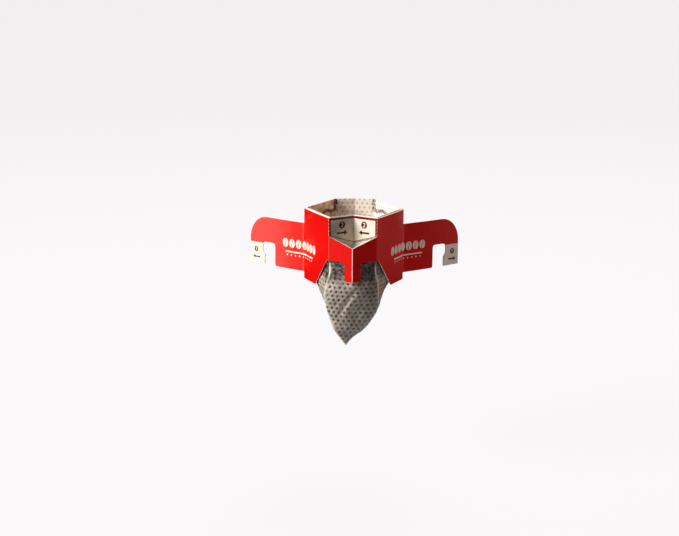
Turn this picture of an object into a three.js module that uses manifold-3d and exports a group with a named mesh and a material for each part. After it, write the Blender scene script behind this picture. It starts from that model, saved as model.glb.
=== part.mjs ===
// Single-serve drip coffee bag, opened and hung for brewing.
// Millimetres, +Z up. X runs from arm to arm, the pressed ridge with its leg faces -Y.
// Z = 0 is the level of the cup's rim, where the tops of the two arm slots rest,
// and the Z axis passes midway between the two side corners of the mouth.

import * as THREE from 'three';
import Module from 'manifold-3d';
import { mergeVertices } from 'three/addons/utils/BufferGeometryUtils.js';

const wasm = await Module();
wasm.setup();

// Materials' own sizes
const cardThickness = 0.45;
const filterThickness = 0.4;
const clearance = 0.3;
const joinOverlap = 0.02;

// Plan of the opened mouth. From a side corner the flat bag is cornerToCrease and then
// creaseToRidge to its front edge, and cornerToCrease and then backCreaseToRidge to its back
// edge, where the wall stands almost flat and isn't pushed in.
const mouthHalfWidth = 24;
const cornerToCrease = 31.4;
const creaseToRidge = 13.6;
const backCreaseToRidge = 10.2;
const frontCreaseHalfWidth = 11;
const backCreaseHalfWidth = 10;
const cornerRounding = 1.2;

// Heights of the printed card, measured down from the mouth
const panelSideDrop = 8.5;
const panelPointDrop = 12.6;
const panelCut = 0.3;
const windowTopDrop = 19.5;
const legFootDrop = 28.1;
const legHalfWidth = 4.4;
const backLegShare = 0.494;
const backRadiusShare = 0.35;
const lobeFootDrop = 33.6;
const lobeWidth = 16;
const windowSlantTop = 29.6;

// Swung-out arms
const armTopDrop = 7.05;
const armFootDrop = 30.4;
const armLength = 35.8;
const armSweep = THREE.MathUtils.degToRad(40);
const armCornerRadius = 11.5;
const slotTopDrop = 19.3;
const slotStart = 18.6;
const slotEnd = 25.8;
const slotCornerRadius = 1.6;
const notchDepth = 1.4;
const notchTop = 1;
const notchHeight = 3.8;
const armCut = 0.3;

// Small radii of the die cut
const cardCornerRadius = 1;
const filletRadius = 1.2;

// Filter pouch below the card
const filterProud = 0.3;
const pouchDrop = 62;
const groundsTopDrop = 31;
const groundsCrater = 6;

const mouthLevel = slotTopDrop;
const frontCreaseY = Math.sqrt(cornerToCrease ** 2 - (mouthHalfWidth - frontCreaseHalfWidth) ** 2);
const backCreaseY = Math.sqrt(cornerToCrease ** 2 - (mouthHalfWidth - backCreaseHalfWidth) ** 2);
const frontPush = Math.sqrt(creaseToRidge ** 2 - frontCreaseHalfWidth ** 2);
const backBulge = Math.sqrt(backCreaseToRidge ** 2 - backCreaseHalfWidth ** 2);

const printedCard = new THREE.MeshStandardMaterial({ color: '#d3160d', roughness: 0.35, metalness: 0 });
const wetFilter = new THREE.MeshStandardMaterial({ color: '#c9bfb2', roughness: 0.8, metalness: 0 });
const wetGrounds = new THREE.MeshStandardMaterial({ color: '#2b170d', roughness: 0.7, metalness: 0 });

// Joining and cutting

function positionsOnly(geometry) {
  const bare = geometry.clone();
  bare.deleteAttribute('normal');
  bare.deleteAttribute('uv');
  return mergeVertices(bare, 1e-5);
}

function toSolid(geometry) {
  const merged = positionsOnly(geometry);
  return new wasm.Manifold(new wasm.Mesh({
    numProp: 3,
    vertProperties: new Float32Array(merged.attributes.position.array),
    triVerts: new Uint32Array(merged.index.array),
  }));
}

function toGeometry(solid) {
  const mesh = solid.getMesh();
  const geometry = new THREE.BufferGeometry();
  geometry.setAttribute('position', new THREE.BufferAttribute(new Float32Array(mesh.vertProperties), 3));
  geometry.setIndex(new THREE.BufferAttribute(new Uint32Array(mesh.triVerts), 1));
  geometry.computeVertexNormals();
  return geometry;
}

function turnedInsideOut(geometry) {
  const index = geometry.index.array;
  for (let i = 0; i < index.length; i += 3) {
    [index[i + 1], index[i + 2]] = [index[i + 2], index[i + 1]];
  }
  return geometry;
}

function mirrored(geometry) {
  return turnedInsideOut(geometry.clone().scale(-1, 1, 1));
}

// A flat panel of card stands along the plan line from start towards end. Its outline is drawn
// as seen from outside: u along that line, v upwards. The outline's face is the printed face,
// and the card's thickness goes inwards, to the side where inward points.
function panelSolid(shape, start, end, inwardSign) {
  const along = new THREE.Vector2().subVectors(end, start).normalize();
  const inward = new THREE.Vector2(-along.y, along.x).multiplyScalar(inwardSign);
  const plate = new THREE.ExtrudeGeometry(shape, { depth: cardThickness, bevelEnabled: false, curveSegments: 6 });
  const basis = new THREE.Matrix4().makeBasis(
    new THREE.Vector3(along.x, along.y, 0),
    new THREE.Vector3(0, 0, 1),
    new THREE.Vector3(inward.x, inward.y, 0),
  );
  basis.setPosition(start.x, start.y, mouthLevel);
  const placed = positionsOnly(plate.applyMatrix4(basis));
  return toSolid(basis.determinant() < 0 ? turnedInsideOut(placed) : placed);
}

// An outline whose corners are [u, v] or [u, v, radius]; corners with a radius are rounded off.
function outline(corners) {
  const shape = new THREE.Shape();
  const count = corners.length;
  corners.forEach(([u, v, radius = 0], i) => {
    const here = new THREE.Vector2(u, v);
    const before = new THREE.Vector2(...corners[(i + count - 1) % count].slice(0, 2)).sub(here);
    const after = new THREE.Vector2(...corners[(i + 1) % count].slice(0, 2)).sub(here);
    const reach = radius / Math.tan(before.angleTo(after) / 2);
    const enter = here.clone().addScaledVector(before.normalize(), reach);
    const leave = here.clone().addScaledVector(after.normalize(), reach);
    if (i === 0) {
      shape.moveTo(enter.x, enter.y);
    } else {
      shape.lineTo(enter.x, enter.y);
    }
    if (radius > 0) {
      shape.quadraticCurveTo(u, v, leave.x, leave.y);
    }
  });
  shape.closePath();
  return shape;
}

// Printed card: the left half, which the right half mirrors

const sideCorner = new THREE.Vector2(-mouthHalfWidth, 0);
const frontCrease = new THREE.Vector2(-frontCreaseHalfWidth, -frontCreaseY);
const backCrease = new THREE.Vector2(-backCreaseHalfWidth, backCreaseY);
const frontRidge = new THREE.Vector2(0, -frontCreaseY - frontPush);
const backRidge = new THREE.Vector2(0, backCreaseY + backBulge);
const frontDent = new THREE.Vector2(0, -frontCreaseY + frontPush);
const cornerFront = sideCorner.clone().lerp(frontCrease, cornerRounding / cornerToCrease);
const cornerBack = sideCorner.clone().lerp(backCrease, cornerRounding / cornerToCrease);

const faceLength = cornerToCrease - cornerRounding;
const bandDrop = armTopDrop - armCut;
const cutRadius = armCornerRadius + armCut;
const cutCentre = armLength - armCornerRadius - cornerToCrease;
const armRoot = cardThickness / 2;

function frontFace() {
  return outline([
    [0, 0],
    [faceLength, 0],
    [faceLength, -windowTopDrop],
    [windowSlantTop - cornerRounding, -windowTopDrop],
    [lobeWidth - cornerRounding, -lobeFootDrop, cardCornerRadius],
    [0, -lobeFootDrop],
  ]);
}

function ridgeFace() {
  const legEdge = creaseToRidge - legHalfWidth;
  return outline([
    [0, -panelSideDrop],
    [creaseToRidge, -panelPointDrop],
    [creaseToRidge, -legFootDrop],
    [legEdge, -legFootDrop, cardCornerRadius],
    [legEdge, -windowTopDrop, filletRadius],
    [0, -windowTopDrop],
  ]);
}

function pushPanel() {
  const past = cardThickness;
  const slope = (panelPointDrop - panelSideDrop) / creaseToRidge;
  return outline([
    [0, 0],
    [creaseToRidge + past, 0],
    [creaseToRidge + past, -panelPointDrop + panelCut - slope * past],
    [0, -panelSideDrop + panelCut],
  ]);
}

function backBand() {
  const arcStart = cutCentre + faceLength;
  const shape = new THREE.Shape();
  const arcEnd = Math.acos(-cutCentre / cutRadius);
  shape.moveTo(0, 0);
  shape.lineTo(0, -bandDrop);
  shape.lineTo(arcStart, -bandDrop);
  shape.absarc(arcStart, -bandDrop - cutRadius, cutRadius, Math.PI / 2, arcEnd, true);
  shape.lineTo(faceLength, 0);
  shape.closePath();
  return shape;
}

function backRidgeFace() {
  const leftByArm = backCreaseToRidge - cutCentre - cutRadius;
  const legWidth = leftByArm * backLegShare;
  const legEdge = backCreaseToRidge - legWidth;
  const legRadius = legWidth * backRadiusShare;
  const windowRadius = (leftByArm - legWidth) * backRadiusShare;
  const shape = new THREE.Shape();
  const arcFrom = Math.acos(-cutCentre / cutRadius);
  shape.moveTo(0, 0);
  shape.lineTo(0, -bandDrop - cutRadius + cutRadius * Math.sin(arcFrom));
  shape.absarc(cutCentre, -bandDrop - cutRadius, cutRadius, arcFrom, 0, true);
  shape.lineTo(cutCentre + cutRadius, -windowTopDrop);
  shape.lineTo(legEdge - windowRadius, -windowTopDrop);
  shape.quadraticCurveTo(legEdge, -windowTopDrop, legEdge, -windowTopDrop - windowRadius);
  shape.lineTo(legEdge, -legFootDrop + legRadius);
  shape.quadraticCurveTo(legEdge, -legFootDrop, legEdge + legRadius, -legFootDrop);
  shape.lineTo(backCreaseToRidge, -legFootDrop);
  shape.lineTo(backCreaseToRidge, 0);
  shape.closePath();
  return shape;
}

function armPlate() {
  const notchLow = slotTopDrop + notchTop + notchHeight;
  return outline([
    [-armRoot, -armTopDrop],
    [-armRoot, -armFootDrop],
    [slotStart, -armFootDrop, cardCornerRadius],
    [slotStart, -slotTopDrop, slotCornerRadius],
    [slotEnd, -slotTopDrop],
    [slotEnd + notchDepth, -slotTopDrop - notchTop],
    [slotEnd + notchDepth, -notchLow],
    [slotEnd, -notchLow - notchDepth],
    [slotEnd, -armFootDrop, cardCornerRadius / 2],
    [armLength, -armFootDrop, cardCornerRadius / 2],
    [armLength, -armTopDrop, armCornerRadius],
  ]);
}

function leftCard() {
  const armEnd = new THREE.Vector2(-Math.cos(armSweep), Math.sin(armSweep)).add(cornerFront);
  const pieces = [
    panelSolid(frontFace(), cornerFront, frontCrease, 1),
    panelSolid(ridgeFace(), frontCrease, frontRidge, 1),
    panelSolid(pushPanel(), frontCrease, frontDent, 1),
    panelSolid(outline([
      [0, 0],
      [cornerFront.distanceTo(cornerBack), 0],
      [cornerFront.distanceTo(cornerBack), -bandDrop],
      [0, -bandDrop],
    ]), cornerFront, cornerBack, -1),
    panelSolid(backBand(), cornerBack, backCrease, -1),
    panelSolid(backRidgeFace(), backCrease, backRidge, -1),
    panelSolid(armPlate(), cornerFront, armEnd, -1),
  ];
  const joined = pieces.reduce((sum, piece) => sum.add(piece));
  const side = 4 * (mouthHalfWidth + armLength);
  const leftSpace = new THREE.BoxGeometry(side, side, side).translate(joinOverlap - side / 2, 0, 0);
  return toGeometry(joined.intersect(toSolid(leftSpace)));
}

function cardFrame() {
  const left = leftCard();
  return toGeometry(toSolid(left).add(toSolid(mirrored(left))));
}

// Filter pouch and its grounds: rings of eight corners, one ring for each level

// A ring starts at the left side corner and runs by the front to the right and back again.
function ringCorners(side, creaseX, creaseY, centreY, back = { creaseX, creaseY, centreY }, shift = 0) {
  return [
    [-side, 0],
    [-creaseX, -creaseY],
    [0, -centreY],
    [creaseX, -creaseY],
    [side, 0],
    [back.creaseX, back.creaseY],
    [0, back.centreY],
    [-back.creaseX, back.creaseY],
  ].map(([x, y]) => new THREE.Vector2(x + shift, y));
}

function inset(corners, distance) {
  return corners.map((corner, i) => {
    const before = corners[(i + corners.length - 1) % corners.length];
    const after = corners[(i + 1) % corners.length];
    const first = new THREE.Vector2().subVectors(corner, before).normalize();
    const second = new THREE.Vector2().subVectors(after, corner).normalize();
    const firstIn = new THREE.Vector2(-first.y, first.x);
    const secondIn = new THREE.Vector2(-second.y, second.x);
    const middle = firstIn.add(secondIn);
    return corner.clone().addScaledVector(middle, 2 * distance / middle.lengthSq());
  });
}

const cardBack = { creaseX: backCreaseHalfWidth, creaseY: backCreaseY, centreY: backCreaseY + backBulge };
const cardInset = cardThickness + clearance;
const sideHalfWidth = Math.abs(cornerFront.x);
const mouthRing = inset(
  ringCorners(sideHalfWidth, frontCreaseHalfWidth, frontCreaseY, frontCreaseY - frontPush, cardBack), cardInset);
const ridgeRing = inset(
  ringCorners(sideHalfWidth, frontCreaseHalfWidth, frontCreaseY, frontCreaseY + frontPush, cardBack), cardInset);
const ridgeSlack = 1.5;
ridgeRing[2].y += ridgeSlack;
ridgeRing[6].y -= ridgeSlack;

// Below the card the pouch narrows to a keel. Each level: how far down between the foot of the
// ridge's hold and the keel, side and crease half widths, crease and centre depths, sideways lean.
const hangTopDrop = 25;
const hangLevels = [
  [0.14, 21.4, 11.6, 27.4, 32.4, 0],
  [0.25, 18.2, 12.2, 27.0, 31.2, -0.4],
  [0.34, 15.4, 12.5, 26.6, 30.2, -0.5],
  [0.43, 13.3, 12.4, 26.1, 29.3, -0.4],
  [0.55, 11.7, 11.2, 25.4, 28.2, -0.7],
  [0.66, 9.9, 9.4, 24.6, 27.1, -1.2],
  [0.77, 7.4, 6.9, 23.7, 25.8, -2.1],
  [0.87, 4.0, 3.6, 22.8, 24.4, -2.8],
];
const keelHalfWidth = 0.5;
const keelHalfLength = 22;
const keelHeight = 2.4;
const keelLean = -3.1;

function levelDrop(share) {
  return hangTopDrop + share * (pouchDrop - hangTopDrop);
}

function pouchLevels() {
  const levels = [
    { drop: -filterProud, ring: mouthRing },
    { drop: panelPointDrop + clearance, ring: mouthRing },
    { drop: windowTopDrop + clearance, ring: ridgeRing },
    { drop: hangTopDrop, ring: ridgeRing },
  ];
  hangLevels.forEach(([share, side, creaseX, creaseY, centreY, lean]) => {
    const back = { creaseX, creaseY, centreY: creaseY + (centreY - creaseY) * backBulge / frontPush };
    const ring = ringCorners(side, creaseX, creaseY, centreY, back, lean);
    levels.push({ drop: levelDrop(share), ring });
  });
  return levels;
}

function keelRing(halfWidth, halfLength) {
  return ringCorners(halfWidth, halfWidth * 0.8, halfLength - halfWidth, halfLength, undefined, keelLean);
}

const edgeSteps = 3;

function ringPoints({ drop, ring }) {
  return ring.flatMap((corner, i) => {
    const next = ring[(i + 1) % ring.length];
    return Array.from({ length: edgeSteps }, (_, k) => {
      const point = corner.clone().lerp(next, k / edgeSteps);
      return new THREE.Vector3(point.x, point.y, mouthLevel - drop);
    });
  });
}

// A closed skin through rings in order, with a fan over the first ring and over the last.
function loft(rings, firstCentre, lastCentre) {
  const count = rings[0].length;
  const points = rings.flat();
  const index = [];
  for (let r = 0; r + 1 < rings.length; r += 1) {
    for (let i = 0; i < count; i += 1) {
      const a = r * count + i;
      const b = r * count + (i + 1) % count;
      index.push(a, b, b + count, a, b + count, a + count);
    }
  }
  const first = points.push(firstCentre) - 1;
  const last = points.push(lastCentre) - 1;
  const lastRow = (rings.length - 1) * count;
  for (let i = 0; i < count; i += 1) {
    const next = (i + 1) % count;
    index.push(first, next, i);
    index.push(last, lastRow + i, lastRow + next);
  }
  const geometry = new THREE.BufferGeometry().setFromPoints(points);
  geometry.setIndex(index);
  geometry.computeVertexNormals();
  return geometry;
}

function ringCentre({ drop, ring }) {
  const middle = ring.reduce((sum, corner) => sum.add(corner), new THREE.Vector2()).divideScalar(ring.length);
  return new THREE.Vector3(middle.x, middle.y, mouthLevel - drop);
}

function filterBag() {
  const levels = pouchLevels();
  const keelTop = { drop: pouchDrop - keelHeight, ring: keelRing(keelHalfWidth, keelHalfLength + 1) };
  const keelFoot = { drop: pouchDrop, ring: keelRing(keelHalfWidth, keelHalfLength) };
  const outer = [keelFoot, keelTop, ...[...levels].reverse()];
  const inner = levels.map(({ drop, ring }) => ({ drop, ring: inset(ring, filterThickness) }));
  const skin = [...outer, ...inner];
  return loft(skin.map(ringPoints), ringCentre(keelFoot), ringCentre(inner[inner.length - 1]));
}

function coffeeGrounds() {
  const gap = filterThickness + clearance;
  const heap = pouchLevels().filter(({ drop }) => drop > groundsTopDrop)
    .map(({ drop, ring }) => ({ drop, ring: inset(ring, gap) }));
  const foot = heap[heap.length - 1];
  foot.drop -= clearance;
  const crater = ringCentre(heap[0]);
  crater.z -= groundsCrater;
  return turnedInsideOut(loft(heap.map(ringPoints), crater, ringCentre(foot)));
}

const dripBag = new THREE.Group();

function addPiece(name, geometry, material) {
  const mesh = new THREE.Mesh(geometry, material);
  mesh.name = name;
  dripBag.add(mesh);
}

addPiece('card_frame', cardFrame(), printedCard);
addPiece('filter_bag', filterBag(), wetFilter);
addPiece('coffee_grounds', coffeeGrounds(), wetGrounds);

export default dripBag;
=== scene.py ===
# Looks of an opened single-serve drip coffee bag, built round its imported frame.
# Drawing sizes are in millimetres, in the frame's own axes, and MM turns them to metres.

import math

import bmesh
import bpy
import numpy as np
from mathutils import Matrix, Vector
from mathutils.geometry import delaunay_2d_cdt


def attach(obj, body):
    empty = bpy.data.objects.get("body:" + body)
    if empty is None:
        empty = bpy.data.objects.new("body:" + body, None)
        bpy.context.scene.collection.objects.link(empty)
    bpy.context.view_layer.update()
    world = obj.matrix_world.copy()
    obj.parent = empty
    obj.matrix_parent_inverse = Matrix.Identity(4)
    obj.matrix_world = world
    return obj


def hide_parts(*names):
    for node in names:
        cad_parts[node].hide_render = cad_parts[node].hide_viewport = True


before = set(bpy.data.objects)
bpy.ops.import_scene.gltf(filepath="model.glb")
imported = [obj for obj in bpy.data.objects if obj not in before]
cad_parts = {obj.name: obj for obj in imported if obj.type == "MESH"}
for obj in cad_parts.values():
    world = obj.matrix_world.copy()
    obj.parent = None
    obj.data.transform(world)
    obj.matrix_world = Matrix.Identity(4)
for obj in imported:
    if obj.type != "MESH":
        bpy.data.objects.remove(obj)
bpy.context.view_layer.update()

MM = 0.001
RANDOM = np.random.default_rng(7)

# Plan of the opened mouth: from a side corner CORNER_TO_CREASE and CREASE_TO_RIDGE to the front edge,
# and CORNER_TO_CREASE and BACK_CREASE_TO_RIDGE to the back edge, where the wall stands almost flat
MOUTH_LEVEL = 19.3
MOUTH_HALF_WIDTH = 24.0
CORNER_TO_CREASE = 31.4
CREASE_TO_RIDGE = 13.6
BACK_CREASE_TO_RIDGE = 10.2
HALF_FACE = CORNER_TO_CREASE + CREASE_TO_RIDGE
FRONT_CREASE_X = 11.0
BACK_CREASE_X = 10.0
CORNER_ROUNDING = 1.2
FRONT_CREASE_Y = math.sqrt(CORNER_TO_CREASE ** 2 - (MOUTH_HALF_WIDTH - FRONT_CREASE_X) ** 2)
BACK_CREASE_Y = math.sqrt(CORNER_TO_CREASE ** 2 - (MOUTH_HALF_WIDTH - BACK_CREASE_X) ** 2)
FRONT_PUSH = math.sqrt(CREASE_TO_RIDGE ** 2 - FRONT_CREASE_X ** 2)
BACK_BULGE = math.sqrt(BACK_CREASE_TO_RIDGE ** 2 - BACK_CREASE_X ** 2)

# Die cut, measured down from the mouth
PANEL_SIDE = 8.5
PANEL_POINT = 12.6
SLIT = 0.3
WINDOW_TOP = 19.5
LEG_FOOT = 28.1
LEG_HALF = 4.4
BACK_LEG_SHARE = 0.494
BACK_RADIUS_SHARE = 0.35
LOBE_FOOT = 33.6
LOBE_WIDTH = 16.0
WINDOW_SLANT_TOP = 29.6
ARM_TOP = 7.05
ARM_FOOT = 30.4
ARM_LENGTH = 35.8
ARM_SWEEP = math.radians(40)
ARM_RADIUS = 11.5
SLOT_TOP = MOUTH_LEVEL
SLOT_START = 18.6
SLOT_END = 25.8
NOTCH_DEPTH = 1.4
NOTCH_TOP = 1.0
NOTCH_HEIGHT = 3.8
TIP_ROUND = 0.5
NOTCH_ROUND = 0.4
SLOT_INNER_ROUND = 1.6
SLOT_FOOT_ROUND = 1.0
LOBE_ROUND = 1.0
WINDOW_ROUND = 1.2
LEG_ROUND = 1.0
CARD_THICKNESS = 0.42
FILTER_THICKNESS = 0.3
CLEARANCE = 0.3


def linear(hex_colour):
    """An sRGB hex colour as linear RGBA."""
    channels = np.array([int(hex_colour[i:i + 2], 16) for i in (1, 3, 5)]) / 255
    value = np.where(channels <= 0.04045, channels / 12.92, ((channels + 0.055) / 1.055) ** 2.4)
    return (*(float(v) for v in value), 1.0)


def add_node(tree, kind, inputs=None, output=None, **settings):
    """Adds a node with its settings. An input is given a socket to link or a value to hold. Returns
    the output asked for, or else the node."""
    node = tree.nodes.new(kind)
    for key, value in settings.items():
        setattr(node, key, value)
    for socket, value in (inputs or {}).items():
        if isinstance(value, bpy.types.NodeSocket):
            tree.links.new(value, node.inputs[socket])
        else:
            node.inputs[socket].default_value = value
    return node if output is None else node.outputs[output]


def new_material(name):
    """An empty material with its output and a Principled shader."""
    material = bpy.data.materials.new(name)
    material.use_nodes = True
    tree = material.node_tree
    tree.nodes.clear()
    shader = add_node(tree, "ShaderNodeBsdfPrincipled")
    add_node(tree, "ShaderNodeOutputMaterial", {"Surface": shader.outputs["BSDF"]})
    return material, tree, shader


def layered(tree, colour, layers):
    """A hex colour with (mask, hex colour) layers mixed over it in turn, by their masks."""
    shown = linear(colour)
    for mask, over in layers:
        shown = add_node(tree, "ShaderNodeMix", {0: mask, 6: shown, 7: linear(over)}, 2, data_type="RGBA")
    return shown


def patches(tree, place, size, detail, low, high, to_low=0.0, to_high=1.0):
    """Soft-edged patches about size across: noise put through a smooth step from low to high."""
    clouds = add_node(
        tree, "ShaderNodeTexNoise",
        {"Vector": place, "Scale": 1 / size, "Detail": detail, "Roughness": 0.55}, "Fac")
    return add_node(
        tree, "ShaderNodeMapRange",
        {"Value": clouds, "From Min": low, "From Max": high, "To Min": to_low, "To Max": to_high},
        "Result", interpolation_type="SMOOTHSTEP")


def card_finish(name, print_colour, depth_colour, rough, coat):
    """Board with offset print. The ink's mottle is about 3 mm and the board's fibre shows as a fine
    tooth, drawn 0.5 mm coarse so that it shows. Varnish is a thin coat over it."""
    mottle_size, fibre_size, tooth_depth = 3.0, 0.5, 0.1
    material, tree, shader = new_material(name)
    place = add_node(tree, "ShaderNodeTexCoord", output="Object")
    mottle = patches(tree, place, mottle_size * MM, 3.0, low=0.35, high=0.7)
    tree.links.new(layered(tree, print_colour, [(mottle, depth_colour)]), shader.inputs["Base Color"])
    fibre = add_node(
        tree, "ShaderNodeTexNoise",
        {"Vector": place, "Scale": 1 / (fibre_size * MM), "Detail": 4.0, "Roughness": 0.55}, "Fac")
    tooth = add_node(
        tree, "ShaderNodeMapRange",
        {"Value": fibre, "From Min": 0.2, "From Max": 0.8, "To Min": rough - 0.05, "To Max": rough + 0.07},
        "Result", interpolation_type="SMOOTHSTEP")
    tree.links.new(tooth, shader.inputs["Roughness"])
    relief = add_node(
        tree, "ShaderNodeBump", {"Height": fibre, "Strength": 0.08, "Distance": tooth_depth * MM}, "Normal")
    tree.links.new(relief, shader.inputs["Normal"])
    shader.inputs["Coat Weight"].default_value = coat
    shader.inputs["Coat Roughness"].default_value = 0.16
    shader.inputs["IOR"].default_value = 1.48
    shader.inputs["Specular IOR Level"].default_value = 0.22
    return material


def bond_points(tree, flat, pitch, row, radius):
    """Embossed bond points: round dots in staggered rows, as two square lattices half a step apart.
    Each wraps the place into its cell and fades out with the distance from the cell's middle."""
    masks = []
    for shift in ((0, 0, 0), (pitch / 2, row, 0)):
        moved = add_node(tree, "ShaderNodeVectorMath", {0: flat, 1: shift}, 0, operation="ADD")
        cell = add_node(
            tree, "ShaderNodeVectorMath",
            {0: moved, 1: (pitch / 2, row, 1), 2: (-pitch / 2, -row, -1)}, 0, operation="WRAP")
        away = add_node(tree, "ShaderNodeVectorMath", {0: cell}, "Value", operation="LENGTH")
        fade = {"From Min": radius * 0.65, "From Max": radius * 1.25, "To Min": 1.0, "To Max": 0.0}
        masks.append(add_node(
            tree, "ShaderNodeMapRange", {"Value": away, **fade}, "Result", interpolation_type="SMOOTHSTEP"))
    return add_node(tree, "ShaderNodeMath", {0: masks[0], 1: masks[1]}, 0, operation="MAXIMUM")


def flat_cloth(tree):
    """The cloth's own flat place in millimetres, from its UV map in metres, and the channels of its
    attribute that holds stains and painted light."""
    flat = add_node(tree, "ShaderNodeUVMap", output="UV", uv_map="cloth")
    flat_mm = add_node(tree, "ShaderNodeVectorMath", {0: flat, "Scale": 1 / MM}, 0, operation="SCALE")
    stain_and_light = add_node(tree, "ShaderNodeAttribute", attribute_name="stain_and_light").outputs
    channels = add_node(tree, "ShaderNodeSeparateColor", {"Color": stain_and_light["Color"]})
    return flat_mm, (*channels.outputs, stain_and_light["Alpha"])


def soften(shader, weight, radius):
    """Lets light through the thin cloth: subsurface light that reaches 0.8 mm."""
    shader.inputs["Subsurface Weight"].default_value = weight
    shader.inputs["Subsurface Radius"].default_value = radius
    shader.inputs["Subsurface Scale"].default_value = 0.8 * MM


def wet_nonwoven():
    """Wet point-bonded non-woven over dark grounds: greyish beige, translucent at its bond points, with
    grounds showing through in blotches, paler where dry and on its sealed seams, and a painted highlight
    along its upper front creases."""
    cloud_size, patch_size, blotch_size, fibre_size = 6.0, 2.6, 1.7, 0.35
    material, tree, shader = new_material("wet_point_bonded_nonwoven")
    flat, (grounds, seam_and_highlight, _, _) = flat_cloth(tree)
    place = add_node(tree, "ShaderNodeTexCoord", output="Object")
    cloud = patches(tree, place, cloud_size * MM, 4.0, low=0.34, high=0.66)
    bond = bond_points(tree, flat, pitch=2.5, row=2.0, radius=0.66)
    patchy = patches(tree, flat, patch_size, 2.0, low=0.3, high=0.62, to_low=0.55)
    clear = add_node(tree, "ShaderNodeMath", {0: bond, 1: patchy}, 0, operation="MULTIPLY")
    behind = add_node(tree, "ShaderNodeMath", {0: grounds, 1: 0.75}, 0, operation="MULTIPLY")
    blotch = patches(tree, flat, blotch_size, 3.0, low=0.44, high=0.58)
    dark = add_node(tree, "ShaderNodeMath", {0: blotch, 1: grounds}, 0, operation="MULTIPLY")
    # efe6da over the green mask is dry cloth and sealed seams, and also a painted highlight on the upper
    # creases.
    cloth = layered(tree, "#a89c8d", [
        (cloud, "#c6baaa"), (clear, "#33241a"), (behind, "#4a3d33"), (dark, "#21150f"), (seam_and_highlight, "#efe6da")])
    tree.links.new(cloth, shader.inputs["Base Color"])
    fibre = add_node(
        tree, "ShaderNodeTexNoise",
        {"Vector": flat, "Scale": 1 / fibre_size, "Detail": 3.0, "Roughness": 0.55}, "Fac")
    height = add_node(tree, "ShaderNodeMath", {0: fibre, 1: 0.25, 2: bond}, 0, operation="MULTIPLY_ADD")
    relief = add_node(
        tree, "ShaderNodeBump", {"Height": height, "Strength": 0.55, "Distance": 0.25 * MM}, "Normal",
        invert=True)
    tree.links.new(relief, shader.inputs["Normal"])
    shader.inputs["Roughness"].default_value = 0.5
    soften(shader, 0.12, (1.0, 0.75, 0.55))
    return material


def inner_nonwoven():
    """The same cloth seen inside the mouth: cream, with faint bond points, a painted tan shade with red
    bounce light, full on the left inner wall and faint elsewhere, and dark crumbs left along its creases."""
    cloud_size, crumb_size = 4.0, 0.9
    material, tree, shader = new_material("coffee_stained_and_shaded_nonwoven")
    flat, (_, _, inside, painted_shade_tint) = flat_cloth(tree)
    bond = bond_points(tree, flat, pitch=2.5, row=2.05, radius=0.5)
    cloud = patches(tree, flat, cloud_size, 4.0, low=0.35, high=0.7, to_low=0.4)
    tan_shade_mask = add_node(tree, "ShaderNodeMath", {0: cloud, 1: painted_shade_tint}, 0, operation="MULTIPLY")
    crumbs = patches(tree, flat, crumb_size, 2.0, low=0.37, high=0.45)
    dark = add_node(tree, "ShaderNodeMath", {0: crumbs, 1: inside}, 0, operation="MULTIPLY")
    # The tan #b87845 is painted shade: the shaded left inner wall with red light bounced off the card.
    cloth = layered(tree, "#fbf2e6", [(bond, "#ceb294"), (tan_shade_mask, "#b87845"), (dark, "#34100a")])
    tree.links.new(cloth, shader.inputs["Base Color"])
    relief = add_node(
        tree, "ShaderNodeBump", {"Height": bond, "Strength": 0.4, "Distance": 0.2 * MM}, "Normal",
        invert=True)
    tree.links.new(relief, shader.inputs["Normal"])
    shader.inputs["Roughness"].default_value = 0.7
    soften(shader, 0.2, (1.0, 0.8, 0.6))
    return material


def wet_grounds():
    """Freshly wetted ground coffee: near black grains with a wet shine."""
    grain_size, grain_relief = 0.9, 0.4
    material, tree, shader = new_material("wet_ground_coffee")
    place = add_node(tree, "ShaderNodeTexCoord", output="Object")
    grain = add_node(
        tree, "ShaderNodeTexNoise",
        {"Vector": place, "Scale": 1 / (grain_size * MM), "Detail": 4.0, "Roughness": 0.55}, "Fac")
    husk = patches(tree, place, grain_size * MM, 4.0, low=0.35, high=0.7)
    tree.links.new(layered(tree, "#1d0f08", [(husk, "#4f2f1a")]), shader.inputs["Base Color"])
    relief = add_node(
        tree, "ShaderNodeBump", {"Height": grain, "Strength": 0.8, "Distance": grain_relief * MM}, "Normal")
    tree.links.new(relief, shader.inputs["Normal"])
    shader.inputs["Roughness"].default_value = 0.38
    return material


# Flat outlines of the die cut. A point is (s, z): s runs along the blank, 0 at the side corner,
# positive towards the front ridge; z is the height over the mouth.

ARM_ROOT = CORNER_ROUNDING
CHORD = 2 * CORNER_ROUNDING * math.sin(math.atan2(FRONT_CREASE_Y, MOUTH_HALF_WIDTH - FRONT_CREASE_X))
BACK_START = ARM_ROOT - CHORD
CUT_NICK = 0.2
BEND_PITCH = 0.8
BACK_CREASE = BACK_START - (CORNER_TO_CREASE - CORNER_ROUNDING)
BACK_RIDGE = BACK_CREASE - BACK_CREASE_TO_RIDGE
ARM_CENTRE = ARM_ROOT - (ARM_LENGTH - ARM_RADIUS)
CUT_CENTRE = BACK_START - (ARM_LENGTH - ARM_RADIUS - CORNER_ROUNDING)
CUT_RADIUS = ARM_RADIUS + SLIT
CREASES = np.array([BACK_CREASE, BACK_START, ARM_ROOT, CORNER_TO_CREASE])
BESIDE_CREASE = np.array([-0.7, -0.35, -0.18, 0, 0.18, 0.35, 0.7])
BEND_COLUMNS = np.unique(np.round((CREASES[:, None] + BESIDE_CREASE).ravel(), 4))


def arc(centre, radius, start, end, steps=14):
    """Points on a circle's arc from angle start to angle end, in degrees."""
    angle = np.radians(np.linspace(start, end, steps))
    return np.column_stack((centre[0] + radius * np.cos(angle), centre[1] + radius * np.sin(angle)))


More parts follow.
